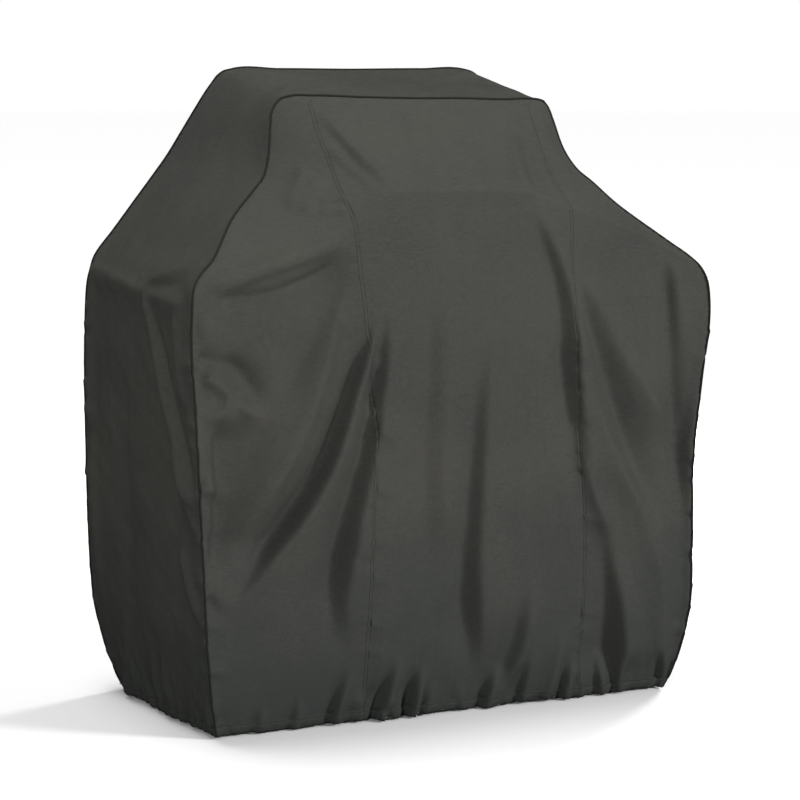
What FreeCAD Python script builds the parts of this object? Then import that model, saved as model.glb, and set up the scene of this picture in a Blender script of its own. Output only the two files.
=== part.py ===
import FreeCAD
import Part
import math
import os

# Fitted fabric cover for a small cart grill, shaped as it hangs over the grill that it protects.
#
# The skin is seven cloth panels. One long strip runs from the left hem up over the shoulder, the hood
# and the other shoulder to the right hem. Three panels close the front and three close the back.
# A piped seam joins the strip to the front and another joins it to the back. Inside, a binding tape
# covers each piped seam and a flat tape covers each upright seam. The hem is a channel round an elastic.
#
# Millimetres. X is the width, -Y is the front, Z is up, and the origin is at the middle of the mouth.

V = FreeCAD.Vector

# ---------------------------------------------------------------- driving dimensions
WIDTH = 1020.0          # over the side shelves
DEPTH = 530.0           # over the side shelves
SHOULDER_FRONT = 826.0  # where the cloth turns over a side shelf, at the front
SHOULDER_BACK = 830.0   # and at the back
FRONT_TOP = 1126.0      # top edge of the front, lower because a hood slopes forward
BACK_TOP = 1174.0       # highest edge, at the back of the hood
FRONT_TOP_Y = -77.0
BACK_TOP_Y = 187.0
HOOD_TOP_X = 283.0      # half width of the hood's top
HOOD_CORNER_X = 322.0   # half width at the lower corner of the hood's end
HOOD_CORNER_Z = 982.0
HOOD_CORNER_Y = -124.0
HOOD_BACK_X = 375.0     # the same corner at the back, where the cloth hangs straighter
HOOD_BACK_Z = 985.0
HANDLE_Z = 965.0        # the hood's handle pushes the middle of the front forwards here
HANDLE_Y = -232.0
PANEL_SEAM_X = 215.0    # upright seams of the front and the back
HEM_X = 470.0           # half width of the gathered mouth
HEM_Y = 230.0
GATHER_Z = 170.0        # the cloth pulls in below this height

CLOTH = 1.0             # coated polyester with its lining
TAPE = 0.6              # flat seam tape
TAPE_WIDTH = 24.0
CLEAR = 0.2             # gap between layers that are sewn flat on each other
PIPING_R = 2.5          # bead of cord and bias strip
CORE_R = 1.6            # cord inside the bead
BEAD_OUT = 3.0          # bead's middle, outside the seam's corner
BINDING_IN = 3.0        # the bound seam allowance starts this far inside the corner
BINDING_WIDE = 12.0
BINDING_THICK = 1.6
CHANNEL = 7.0           # hem channel, across
CHANNEL_HIGH = 22.0
ELASTIC_THICK = 1.4     # flat elastic, standing in the channel
ELASTIC_HIGH = 14.0
ELASTIC_LAP = 30.0      # overlap of its sewn ends
THREAD = 0.8
STITCH_OFFSET = 6.0     # topstitching beside an upright seam

ROUND_TOP = 45.0
ROUND_HOOD = 60.0
ROUND_SHOULDER = 60.0
ROUND_GATHER = 120.0
TURN = 45.0             # height over which the front or back turns to a new slope, each way
REACH = 40.0            # how far a layer is made past the outline before it is trimmed
LOFT_Y = 320.0          # the outline's two sections stand this far from the middle
FAR = 600.0

OUT = "parts"


# ---------------------------------------------------------------- small helpers
def save(name, shape):
    """Writes one node."""
    shape.exportStep(os.path.join(OUT, name + ".step"))
    print("%-24s solids %d  valid %s  volume %.0f" % (name, len(shape.Solids), shape.isValid(), shape.Volume))


def box(x0, x1, y0, y1, z0, z1):
    return Part.makeBox(x1 - x0, y1 - y0, z1 - z0, V(x0, y0, z0))


def mirrored(shape):
    return shape.mirror(V(0, 0, 0), V(1, 0, 0))


def between(table, at):
    """Straight-line value from a list of (place, value) pairs, continued past its last pair."""
    for (a, va), (b, vb) in zip(table, table[1:]):
        if at <= b:
            break
    return va + (vb - va) * (at - a) / (b - a)


def spread(a, b, count):
    return [a + (b - a) * i / (count - 1) for i in range(count)]


def bezier(poles, t):
    """Value of a Bezier curve of any degree."""
    while len(poles) > 1:
        poles = [a + (b - a) * t for a, b in zip(poles, poles[1:])]
    return poles[0]


def patch(net):
    """Face of one span whose poles are the net."""
    u, v = len(net), len(net[0])
    surface = Part.BSplineSurface()
    surface.buildFromPolesMultsKnots(net, [u, u], [v, v], [0, 1], [0, 1], False, False, u - 1, v - 1)
    return surface.toShape()


def closed_solid(faces):
    shell = Part.makeShell(faces)
    shell.sewShape()
    solid = Part.makeSolid(shell)
    return solid if solid.Volume > 0 else solid.reversed()


# ---------------------------------------------------------------- front and back surfaces
class Wall:
    """The front or the back: a depth for each place, made of straight runs with rounded turns."""

    def __init__(self, side_line, middle_line, sign):
        self.side_line = side_line
        self.middle_line = middle_line
        self.sign = sign
        self.z_zones = self.zones_up([z for z, _ in side_line])
        mid, end, edge = PANEL_SEAM_X, HOOD_CORNER_X, WIDTH / 2 + REACH
        self.x_zones = [[-edge, -end], spread(-end, -mid, 4), [-mid, mid], spread(mid, end, 4), [end, edge]]

    def zones_up(self, corners):
        zones, start = [], -REACH
        for corner in corners[1:-1]:
            zones += [[start, corner - TURN], spread(corner - TURN, corner + TURN, 4)]
            start = corner + TURN
        return zones + [[start, BACK_TOP + REACH]]

    def pole(self, x, z):
        """Depth of a pole. Poles beyond the hood's corner follow the side line, the others the middle line."""
        beside = abs(x) > (PANEL_SEAM_X + HOOD_CORNER_X) / 2
        return between(self.side_line if beside else self.middle_line, z)

    def y(self, x, z):
        """Depth of the outer face at a place."""
        across = next((q for q in self.x_zones if x <= q[-1]), self.x_zones[-1])
        up = next((q for q in self.z_zones if z <= q[-1]), self.z_zones[-1])
        t, s = (x - across[0]) / (across[-1] - across[0]), (z - up[0]) / (up[-1] - up[0])
        return bezier([bezier([self.pole(a, b) for b in up], s) for a in across], t)

    def normal(self, x, z):
        """Outwards."""
        dx = (self.y(x + 1, z) - self.y(x - 1, z)) / 2
        dz = (self.y(x, z + 1) - self.y(x, z - 1)) / 2
        return V(-dx, 1, -dz).normalize() * self.sign

    def net(self, across, up, inset):
        return [[V(x, self.pole(x, z) - inset * self.sign, z) for z in up] for x in across]

    def layer(self, near, far):
        """The cloth between two depths inside the outer face. Negative depths are outside it."""
        faces = []
        for across in self.x_zones:
            for up in self.z_zones:
                a, b = self.net(across, up, near), self.net(across, up, far)
                faces += [patch(a), patch(b)]
                if up is self.z_zones[0]:
                    faces.append(patch([[row[0] for row in a], [row[0] for row in b]]))
                if up is self.z_zones[-1]:
                    faces.append(patch([[row[-1] for row in a], [row[-1] for row in b]]))
                if across is self.x_zones[0]:
                    faces.append(patch([a[0], b[0]]))
                if across is self.x_zones[-1]:
                    faces.append(patch([a[-1], b[-1]]))
        return closed_solid(faces)


HANDLE_SIDE_Y = HOOD_CORNER_Y + (HANDLE_Z - HOOD_CORNER_Z) / (FRONT_TOP - HOOD_CORNER_Z) * (
    FRONT_TOP_Y - HOOD_CORNER_Y)
FRONT = Wall([(0, -HEM_Y), (GATHER_Z, -DEPTH / 2), (SHOULDER_FRONT, -DEPTH / 2), (HANDLE_Z, HANDLE_SIDE_Y),
              (FRONT_TOP, FRONT_TOP_Y)],
             [(0, -HEM_Y), (GATHER_Z, -DEPTH / 2), (SHOULDER_FRONT, -DEPTH / 2), (HANDLE_Z, HANDLE_Y),
              (FRONT_TOP, FRONT_TOP_Y)], -1)
BACK_LINE = [(0, HEM_Y), (GATHER_Z, DEPTH / 2), (SHOULDER_BACK, DEPTH / 2), (BACK_TOP, BACK_TOP_Y)]
BACK = Wall(BACK_LINE, BACK_LINE, 1)


# ---------------------------------------------------------------- the strip's outline
def outline_corners(y):
    """Corners of the right half of the outline at depth y, each with its rounding radius."""
    shelf = (y + DEPTH / 2) / DEPTH
    hood = (y - HOOD_CORNER_Y) / (BACK_TOP_Y - HOOD_CORNER_Y)
    roof = (y - FRONT_TOP_Y) / (BACK_TOP_Y - FRONT_TOP_Y)
    return [(HEM_X, 0, 0),
            (WIDTH / 2, GATHER_Z, ROUND_GATHER),
            (WIDTH / 2, SHOULDER_FRONT + (SHOULDER_BACK - SHOULDER_FRONT) * shelf, ROUND_SHOULDER),
            (HOOD_CORNER_X + (HOOD_BACK_X - HOOD_CORNER_X) * hood,
             HOOD_CORNER_Z + (HOOD_BACK_Z - HOOD_CORNER_Z) * hood, ROUND_HOOD),
            (HOOD_TOP_X, FRONT_TOP + (BACK_TOP - FRONT_TOP) * roof, ROUND_TOP)]


def outline(y, inset):
    """Closed wire of the outline at depth y: straight runs joined by arcs, `inset` inside the outer face."""
    right = outline_corners(y)
    below = HEM_X - (WIDTH / 2 - HEM_X) * REACH / GATHER_Z
    loop = [(below, -REACH, 0)] + right[1:] + [(-x, z, r) for x, z, r in right[:0:-1]] + [(-below, -REACH, 0)]
    runs = []
    for (x0, z0, _), (x1, z1, _) in zip(loop, loop[1:]):
        way = V(x1 - x0, 0, z1 - z0).normalize()
        runs.append((V(x0, y, z0) + V(-way.z, 0, way.x) * inset, way))
    points = [runs[0][0]]
    for (a, u), (b, w) in zip(runs, runs[1:]):
        gap = b - a
        points.append(a + u * ((gap.x * w.z - gap.z * w.x) / (u.x * w.z - u.z * w.x)))
    points.append(V(-points[0].x, y, points[0].z))
    edges, start = [], points[0]
    for before, corner, after, (_, _, radius) in zip(points, points[1:], points[2:], loop[1:]):
        u, w = (before - corner).normalize(), (after - corner).normalize()
        half = u.getAngle(w) / 2
        real = radius - inset if u.cross(w).y > 0 else radius + inset
        first, second = corner + u * (real / math.tan(half)), corner + w * (real / math.tan(half))
        middle = corner + (u + w).normalize() * (real / math.sin(half) - real)
        edges += [Part.LineSegment(start, first).toShape(), Part.Arc(first, middle, second).toShape()]
        start = second
    edges += [Part.LineSegment(start, points[-1]).toShape(), Part.LineSegment(points[-1], points[0]).toShape()]
    return Part.Wire(edges)


def body(inset):
    """Everything inside the strip's surface, from hem to hood, between the two sections."""
    solid = Part.makeLoft([outline(-LOFT_Y, inset), outline(LOFT_Y, inset)], True, True)
    return solid.common(box(-WIDTH, WIDTH, -LOFT_Y, LOFT_Y, 0, 2 * BACK_TOP))


# ---------------------------------------------------------------- strips that follow a piped seam
def seam_line(wall):
    """Fine points where the strip meets the wall, from the right hem over the top to the left hem."""
    found = []
    for ahead, behind in zip(outline(-LOFT_Y, 0).Edges[:-1], outline(LOFT_Y, 0).Edges[:-1]):
        steps = max(2, int(ahead.Length / 4))
        for i in range(steps):
            a = ahead.valueAt(ahead.FirstParameter + (ahead.LastParameter - ahead.FirstParameter) * i / steps)
            b = behind.valueAt(behind.FirstParameter + (behind.LastParameter - behind.FirstParameter) * i / steps)
            p = (a + b) / 2
            for _ in range(30):
                p = a + (b - a) * ((wall.y(p.x, p.z) + LOFT_Y) / (2 * LOFT_Y))
            found.append(p)
    return [p for p in found if p.z > 1.0]


def stations(points, straight=70.0, bent=11.0):
    """Thins the seam: close together where it bends, further apart where it is straight."""
    kept = [points[0]]
    for i in range(1, len(points) - 1):
        ahead, behind = points[min(i + 3, len(points) - 1)] - points[i], points[i] - points[max(i - 3, 0)]
        if (points[i] - kept[-1]).Length >= (bent if ahead.getAngle(behind) > 0.02 else straight):
            kept.append(points[i])
    return kept[:-1] + [points[-1]]


def frames(points, wall):
    """For each station, the way out of the corner that the two cloths make, and the way across it."""
    made = []
    for i, p in enumerate(points):
        along = (points[min(i + 1, len(points) - 1)] - points[max(i - 1, 0)]).normalize()
        side = V(0, 1, 0).cross(along).normalize()
        side = side if side.dot(V(p.x, 0, p.z - HOOD_CORNER_Z / 2)) > 0 else side * -1
        out = (wall.normal(p.x, p.z) + side).normalize()
        made.append((out, along.cross(out).normalize()))
    return made


def swept(points, sides, section, run=8):
    """A closed solid through the stations. `section` lists its corners as (outwards, across) offsets."""
    rings = [[p + out * a + across * b for a, b in section] for p, (out, across) in zip(points, sides)]
    faces = []
    for first in range(0, len(rings) - 1, run):
        part = rings[first:first + run + 1]
        rails = []
        for corner in range(len(section)):
            rail = Part.BSplineCurve()
            rail.interpolate(Points=[ring[corner] for ring in part])
            rails.append(rail.toShape())
        faces += [Part.makeRuledSurface(rails[i - 1], rails[i]) for i in range(len(rails))]
    faces += [Part.Face(Part.makePolygon(rings[end] + rings[end][:1])) for end in (0, -1)]
    return closed_solid(faces)


def round_section(radius, count=8):
    turn = 2 * math.pi / count
    return [(BEAD_OUT + radius * math.cos(i * turn), radius * math.sin(i * turn)) for i in range(count)]


def make_piped_seam(side, wall):
    """Bias strip, cord and inner binding of the seam round the front or the back."""
    line = seam_line(wall)
    points = stations(line)
    sides = frames(points, wall)
    tube = swept(points, sides, round_section(PIPING_R))
    save(side + "_piping_cover", tube.cut(swept(points, sides, round_section(CORE_R + 0.1))))
    save(side + "_piping_cord", swept(points, sides, round_section(CORE_R)))
    points = stations([p for p in line if p.z > CHANNEL_HIGH + 10])
    near, far, half = -BINDING_IN, -BINDING_IN - BINDING_WIDE, BINDING_THICK / 2
    section = [(near, -half), (near, half), (far, half), (far, -half)]
    save(side + "_seam_binding", swept(points, frames(points, wall), section))


# ---------------------------------------------------------------- hem
def rounded_ring(inset, width, z0, z1):
    """A flat ring round the mouth, `inset` inside the mouth's outer edge."""
    def plate(off):
        solid = box(off - HEM_X, HEM_X - off, off - HEM_Y, HEM_Y - off, z0, z1)
        return solid.makeFillet(18.0 - off, [e for e in solid.Edges if abs(e.tangentAt(e.FirstParameter).z) > 0.9])
    return plate(inset).cut(plate(inset + width))


def make_hem(front_rows, back_rows):
    """Channel strip, elastic with its sewn joint, and the thread that closes the channel."""
    edge = CLOTH + CLEAR
    floor = rounded_ring(edge, CHANNEL + CLOTH, 0, CLOTH)
    wall = rounded_ring(edge + CHANNEL, CLOTH, 0, CHANNEL_HIGH)
    save("hem_channel_strip", floor.fuse(wall).removeSplitter())
    low = CLOTH + 1.0
    at = edge + CHANNEL / 2 - ELASTIC_THICK
    band = rounded_ring(at, ELASTIC_THICK, low, low + ELASTIC_HIGH)
    inner = HEM_Y - at - ELASTIC_THICK
    lap = box(-ELASTIC_LAP / 2, ELASTIC_LAP / 2, inner - ELASTIC_THICK, inner, low, low + ELASTIC_HIGH)
    save("hem_elastic", band.fuse(lap).removeSplitter())
    tacks = [box(x - THREAD, x + THREAD, inner - ELASTIC_THICK - CLEAR / 2 - THREAD,
                 inner - ELASTIC_THICK - CLEAR / 2, low + 1, low + ELASTIC_HIGH - 1) for x in (-10.0, 10.0)]
    save("elastic_bar_tacks", Part.makeCompound(tacks))
    line = (CHANNEL_HIGH - THREAD / 2, CHANNEL_HIGH + THREAD / 2)
    rows = [row.common(box(6 - HEM_X, HEM_X - 6, -LOFT_Y, LOFT_Y, *line)) for row in (front_rows, back_rows)]
    ends = body(-CLEAR - THREAD).cut(body(-CLEAR))
    rows += [ends.common(box(x, x + WIDTH, 6 - HEM_Y, HEM_Y - 6, *line)) for x in (-WIDTH, 0)]
    save("hem_stitching", Part.makeCompound([solid for row in rows for solid in row.Solids]))


# ---------------------------------------------------------------- panels
def make_panels(side, wall):
    """Three panels, two inner tapes and two rows of thread. Gives the layer that holds outer thread."""
    whole = wall.layer(0, CLOTH).common(body(0))
    for place, x0, x1 in (("left", -WIDTH, -PANEL_SEAM_X), ("centre", -PANEL_SEAM_X, PANEL_SEAM_X),
                          ("right", PANEL_SEAM_X, WIDTH)):
        save("%s_%s_panel" % (side, place), whole.common(box(x0, x1, -LOFT_Y, LOFT_Y, 0, 2 * BACK_TOP)))
    inside = wall.layer(CLOTH + CLEAR, CLOTH + CLEAR + TAPE).common(body(BINDING_IN + BINDING_WIDE))
    tape = inside.common(box(PANEL_SEAM_X - TAPE_WIDTH / 2, PANEL_SEAM_X + TAPE_WIDTH / 2,
                             -LOFT_Y, LOFT_Y, CHANNEL_HIGH + 8, 2 * BACK_TOP))
    outside = wall.layer(-CLEAR - THREAD, -CLEAR)
    at = PANEL_SEAM_X + STITCH_OFFSET
    thread = outside.common(body(CLOTH + 6)).common(
        box(at - THREAD / 2, at + THREAD / 2, -LOFT_Y, LOFT_Y, CHANNEL_HIGH + 4, 2 * BACK_TOP))
    save(side + "_right_seam_tape", tape)
    save(side + "_left_seam_tape", mirrored(tape))
    save(side + "_right_topstitch", thread)
    save(side + "_left_topstitch", mirrored(thread))
    return outside


def main():
    os.makedirs("parts", exist_ok=True)
    front_rows = make_panels("front", FRONT)
    back_rows = make_panels("back", BACK)
    strip = body(0).cut(body(CLOTH))
    save("top_and_ends_panel", strip.cut(FRONT.layer(-FAR, CLOTH)).cut(BACK.layer(-FAR, CLOTH)))
    make_piped_seam("front", FRONT)
    make_piped_seam("back", BACK)
    make_hem(front_rows, back_rows)


main()
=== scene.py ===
import math

import bpy
import numpy as np
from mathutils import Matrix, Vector


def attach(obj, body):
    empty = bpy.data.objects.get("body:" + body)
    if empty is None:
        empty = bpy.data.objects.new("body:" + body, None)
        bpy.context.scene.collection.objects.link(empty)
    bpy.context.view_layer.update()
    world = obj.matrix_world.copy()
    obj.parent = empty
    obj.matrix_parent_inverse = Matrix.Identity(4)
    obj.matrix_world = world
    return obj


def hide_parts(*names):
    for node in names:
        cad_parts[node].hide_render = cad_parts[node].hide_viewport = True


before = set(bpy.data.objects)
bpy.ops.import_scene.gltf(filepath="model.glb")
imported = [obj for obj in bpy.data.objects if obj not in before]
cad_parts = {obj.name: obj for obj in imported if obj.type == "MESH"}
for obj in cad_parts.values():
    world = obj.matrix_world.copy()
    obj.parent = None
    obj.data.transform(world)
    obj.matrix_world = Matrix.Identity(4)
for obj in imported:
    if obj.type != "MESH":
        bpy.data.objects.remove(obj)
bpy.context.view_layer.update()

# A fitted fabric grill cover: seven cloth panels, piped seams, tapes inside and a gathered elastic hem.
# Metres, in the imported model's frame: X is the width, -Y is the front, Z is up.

CLOTH = 0.0012              # drawn thickness of the cloth
DEPTH = 0.53                # width of the long strip, which is the cover's depth
STEP = 0.0053               # grid spacing of the panels
STRIP_STEP = 0.0073         # grid spacing across the long strip
BEAD = 0.0020               # radius of the piping
HEM_HIGH = 0.022            # height of the hem's channel
LOWEST = 0.0015             # no cloth settles lower than this
SEAM_FREE = 0.022           # no fold reaches nearer to a piped seam
MIDDLE = np.array([0, 0, 0.55])     # a point inside, for telling outward from inward
SETTLE_ROUNDS = 140

# ---- curves and fields


def ease(t):
    """Rises smoothly from 0 to 1."""
    t = np.clip(t, 0.0, 1.0)
    return t * t * (3 - 2 * t)


def curve(table, at):
    """Smooth curve through a table whose first column is the place. Gives one column or several."""
    table = np.asarray(table, float)
    x, y = table[:, 0], table[:, 1:]
    slope = np.gradient(y, x, axis=0)
    at = np.asarray(at, float)
    i = np.clip(np.searchsorted(x, at, side="right") - 1, 0, len(x) - 2)
    h = (x[i + 1] - x[i])
    t = np.clip((at - x[i]) / h, 0, 1)[..., None]
    h = h[..., None]
    a = (2 * t**3 - 3 * t**2 + 1) * y[i] + (t**3 - 2 * t**2 + t) * h * slope[i]
    b = (-2 * t**3 + 3 * t**2) * y[i + 1] + (t**3 - t**2) * h * slope[i + 1]
    out = a + b
    return out[..., 0] if out.shape[-1] == 1 else out


def run_along(points):
    """How far along a line each of its points lies."""
    return np.concatenate([[0], np.cumsum(np.linalg.norm(np.diff(points, axis=0), axis=1))])


def places(length, step):
    """Stations along a length, closer together at both ends."""
    near = np.array([0, 0.0022, 0.0055])
    middle = np.linspace(0.011, length - 0.011, max(3, int(round((length - 0.022) / step))))
    return np.concatenate([near, middle, length - near[::-1]])


def wander(a, b, scale, seed):
    """Smooth unrepeating noise from -1 to 1 over two coordinates."""
    rng = np.random.default_rng(seed)
    out = np.zeros_like(a)
    for octave in range(3):
        for _ in range(5):
            angle, phase = rng.uniform(0, math.tau, 2)
            k = math.tau / scale * 1.7**octave * rng.uniform(0.7, 1.3)
            warp = 0.6 * np.sin(k * 0.43 * (a * math.sin(angle) - b * math.cos(angle)) + phase * 2)
            out += np.sin(k * (a * math.cos(angle) + b * math.sin(angle)) + phase + warp) / 1.6**octave
    return out / 6.5


def fold(a, b, points, left, right, height, ends=(0.2, 0.25)):
    """Height field of one fold: a line with a width on each side and a height, all given at both ends.

    Left is the side of smaller a where the line runs down, and the side below where it runs to the right."""
    line = np.asarray(points, float)
    if len(line) > 2:
        way = np.linspace(0, 1, len(line))
        line = curve(np.column_stack([way, line]), np.linspace(0, 1, 24))
    run = run_along(line)
    run /= run[-1]
    reach = 3.2 * max(*left, *right)
    low, high = line.min(axis=0) - reach, line.max(axis=0) + reach
    out = np.zeros(a.shape)
    near = (a > low[0]) & (a < high[0]) & (b > low[1]) & (b < high[1])
    a, b = a[near], b[near]
    best = np.full(a.shape, 1e9)
    at = np.zeros(a.shape)
    turn = np.zeros(a.shape)
    for p, q, s, e in zip(line, line[1:], run, run[1:]):
        d = q - p
        t = np.clip(((a - p[0]) * d[0] + (b - p[1]) * d[1]) / (d @ d), 0, 1)
        gap = np.hypot(a - p[0] - t * d[0], b - p[1] - t * d[1])
        closer = gap < best
        best = np.where(closer, gap, best)
        at = np.where(closer, s + (e - s) * t, at)
        turn = np.where(closer, d[0] * (b - p[1]) - d[1] * (a - p[0]), turn)
    w = np.where(turn < 0, left[0] + (left[1] - left[0]) * at, right[0] + (right[1] - right[0]) * at)
    h = height[0] + (height[1] - height[0]) * at
    fade = ease(at / ends[0] + 0.02) * ease((1 - at) / ends[1] + 0.02)
    soft = np.sqrt(best**2 + 0.0025**2) - 0.0025
    out[near] = h * fade * np.exp(-(soft / w) ** 1.45)
    return out


def folds(a, b, table):
    """Sum of a table of folds, with its lengths turned from millimetres into metres."""
    total = 0
    for points, sizes, *ends in table:
        line = np.reshape(points, (-1, 2)) / 1000
        total = total + fold(a, b, line, *np.reshape(sizes, (3, 2)) / 1000, *ends)
    return total


# ---- the seams
# One row for each level, from the hem up to the corner of the hood's top, in millimetres:
# front height, front left, front right, front depth, back height, back left, back right, back depth
LEVELS = np.array([
    (10, 468, 459, 232, 10, 462, 460, 232),
    (50, 480, 476, 244, 50, 479, 474, 243),
    (100, 489, 487, 255, 100, 493, 488, 254),
    (180, 499, 497, 266, 180, 508, 500, 264),
    (300, 505, 498, 268, 300, 515, 503, 266),
    (450, 511, 500, 266, 450, 518, 506, 266),
    (600, 518, 517, 266, 600, 519, 512, 266),
    (700, 525, 530, 268, 700, 517, 518, 266),
    (770, 523, 528, 268, 770, 513, 520, 266),
    (805, 518, 516, 263, 805, 506, 512, 264),
    (830, 500, 494, 250, 835, 495, 498, 261),
    (858, 462, 462, 224, 880, 462, 463, 251),
    (920, 406, 390, 173, 935, 422, 421, 241),
    (965, 351, 350, 139, 985, 386, 386, 231),
    (992, 321, 323, 122, 1020, 362, 361, 224),
    (1030, 305, 302, 108, 1070, 334, 333, 212),
    (1080, 294, 290, 92, 1125, 303, 301, 199),
    (1104, 288, 284, 84, 1150, 287, 286, 193),
    (1118, 279, 275, 80, 1164, 277, 275, 190)]) / 1000
# Upright seams of the front: height, place
SEAM_LEFT = [(0.0, -0.178), (0.26, -0.179), (0.445, -0.173), (0.589, -0.167), (0.721, -0.184),
             (0.777, -0.189), (0.851, -0.195), (0.911, -0.197), (0.962, -0.206), (1.02, -0.207),
             (1.06, -0.212), (1.14, -0.211)]
SEAM_RIGHT = [(0.0, 0.262), (0.27, 0.266), (0.39, 0.261), (0.54, 0.251), (0.68, 0.239), (0.765, 0.231),
              (0.836, 0.232), (0.93, 0.238), (0.972, 0.229), (1.02, 0.229), (1.14, 0.231)]
# The back's right seam. The left one mirrors it
SEAM_BACK = [(0.0, 0.205), (0.3, 0.212), (0.7, 0.218), (1.2, 0.212)]
# Top edges, from corner to corner: place, height, depth
FRONT_EDGE = [(-0.279, 1.118, -0.080), (-0.269, 1.127, -0.078), (-0.253, 1.132, -0.077),
              (-0.20, 1.133, -0.077), (-0.1, 1.129, -0.076), (0.0, 1.126, -0.077), (0.1, 1.125, -0.078),
              (0.2, 1.122, -0.077), (0.25, 1.1225, -0.077), (0.265, 1.121, -0.078), (0.275, 1.118, -0.080)]
BACK_EDGE = [(-0.277, 1.164, 0.190), (-0.267, 1.172, 0.188), (-0.25, 1.177, 0.187), (-0.15, 1.177, 0.186),
             (0.0, 1.175, 0.187), (0.15, 1.175, 0.187), (0.25, 1.173, 0.187), (0.265, 1.169, 0.188),
             (0.275, 1.164, 0.190)]

# Where the rows lie, measured up the left end as the mean of its front and back edge
fine = np.linspace(0, len(LEVELS) - 1, 900)
LEVEL_TABLE = np.column_stack([np.arange(len(LEVELS)), LEVELS])
sample = curve(LEVEL_TABLE, fine)
mean_run = (run_along(sample[:, [1, 3, 0]]) + run_along(sample[:, [5, 7, 4]])) / 2
ROW_RUN = places(mean_run[-1], STEP)
ROW_LEVEL = np.interp(ROW_RUN, mean_run, fine)
ROWS = curve(LEVEL_TABLE, ROW_LEVEL)
N_ROWS = len(ROWS)
# Columns of the left, centre and right panel, as shares of the panel's width, and those of the strip
PANEL_COLS = [places(width, STEP) / width for width in (0.31, 0.43, 0.27)]
STRIP_COLS = places(DEPTH, STRIP_STEP) / DEPTH
# Columns that lie on the upright seams
SEAM_COLS = (len(PANEL_COLS[0]) - 1, len(PANEL_COLS[0]) + len(PANEL_COLS[1]) - 2)


def panel_columns(left, seam_l, seam_r, right):
    """Places across one row. Both panels at an upright seam share the one column on it."""
    a = left + (seam_l - left) * PANEL_COLS[0]
    b = seam_l + (seam_r - seam_l) * PANEL_COLS[1][1:]
    c = seam_r + (right - seam_r) * PANEL_COLS[2][1:]
    return np.concatenate([a, b, c])


def wall_grid(front):
    """Places and heights of a front's or back's grid, rows from hem to top, columns from left to right."""
    z, xl, xr, depth = (ROWS[:, i] for i in ((0, 1, 2, 3) if front else (4, 5, 6, 7)))
    rows = []
    for j in range(N_ROWS):
        if front:
            a, b = curve(SEAM_LEFT, z[j]), curve(SEAM_RIGHT, z[j])
        else:
            b = curve(SEAM_BACK, z[j])
            a = -b
        rows.append(panel_columns(-xl[j], a, b, xr[j]))
    x = np.array(rows)
    zz = np.repeat(z[:, None], x.shape[1], axis=1)
    # The rows near the top take on the shape of the top edge
    edge = curve(FRONT_EDGE if front else BACK_EDGE, x[-1])
    share = ease((ROW_RUN - ROW_RUN[-1] + 0.16) / 0.16)[:, None]
    zz = zz + (edge[:, 0] - z[-1])[None, :] * share
    y = np.repeat((-depth if front else depth)[:, None], x.shape[1], axis=1)
    y[-1] = edge[:, 1]
    return x, y, zz


# Height at which the front's cloth leaves the upright and leans back over the shelves and the handle
LEAN = [(-0.54, 0.795), (-0.50, 0.803), (-0.444, 0.814), (-0.383, 0.833), (-0.284, 0.860), (-0.225, 0.884),
        (-0.190, 0.918), (-0.160, 0.952), (-0.125, 0.965), (-0.06, 0.967), (0.06, 0.966), (0.13, 0.963),
        (0.165, 0.956), (0.200, 0.943), (0.250, 0.926), (0.330, 0.902), (0.385, 0.880), (0.436, 0.855),
        (0.50, 0.822), (0.54, 0.806)]


HANDLE_Z = 0.965            # height of the hood's handle under the cloth
HOOD_HALF = 0.27            # half width of the hood
HOOD_FRONT = -0.158         # where the cloth stands at the handle, front to back
HOOD_LEAN = 0.50            # how far the hood leans back for each metre of height
TAUT_ROUNDS = 900


def front_surface():
    """The front without folds: upright up to the shelves and the handle, then taut up to the top edge."""
    x, y, z = wall_grid(True)
    lean = curve(LEAN, x)
    upright = z < lean
    hang = curve([(0.0, 0.0), (0.18, 0.0), (0.60, 0.0), (0.80, 0.004), (0.90, 0.018), (0.957, 0.030),
                  (1.2, 0.03)], z)
    flat_y = -curve(np.column_stack([LEVELS[:, 0], LEVELS[:, 3]])[:9], np.minimum(z, 0.77))
    plane = flat_y + hang
    inside = np.zeros_like(upright)
    inside[1:-1, 1:-1] = True
    y = np.where(inside & upright, plane, y)
    free = inside & ~upright
    # The free part starts straight between the upright part and the top edge, then is drawn taut
    for i in range(x.shape[1]):
        col = np.where(free[:, i])[0]
        if len(col):
            lo, hi = col[0] - 1, col[-1] + 1
            y[col, i] = np.interp(z[col, i], [z[lo, i], z[hi, i]], [y[lo, i], y[hi, i]])
    # Above the handle the cloth keeps in front of the hood, which leans back
    over_hood = (np.abs(x) < HOOD_HALF) & (z > HANDLE_Z)
    hood = np.where(over_hood, HOOD_FRONT + (z - HANDLE_Z) * HOOD_LEAN, np.inf)
    for _ in range(TAUT_ROUNDS):
        mean = 0.5 * (y[:-2, 1:-1] + y[2:, 1:-1]) * 0.55 + 0.5 * (y[1:-1, :-2] + y[1:-1, 2:]) * 0.45
        y[1:-1, 1:-1] = np.where(free[1:-1, 1:-1], np.minimum(mean, hood[1:-1, 1:-1]), y[1:-1, 1:-1])
    for _ in range(3):
        mean = (y[:-2, 1:-1] + y[2:, 1:-1] + y[1:-1, :-2] + y[1:-1, 2:]) / 4
        y[1:-1, 1:-1] += 0.6 * (mean - y[1:-1, 1:-1])
    return np.stack([x, y, z], axis=-1)


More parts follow.
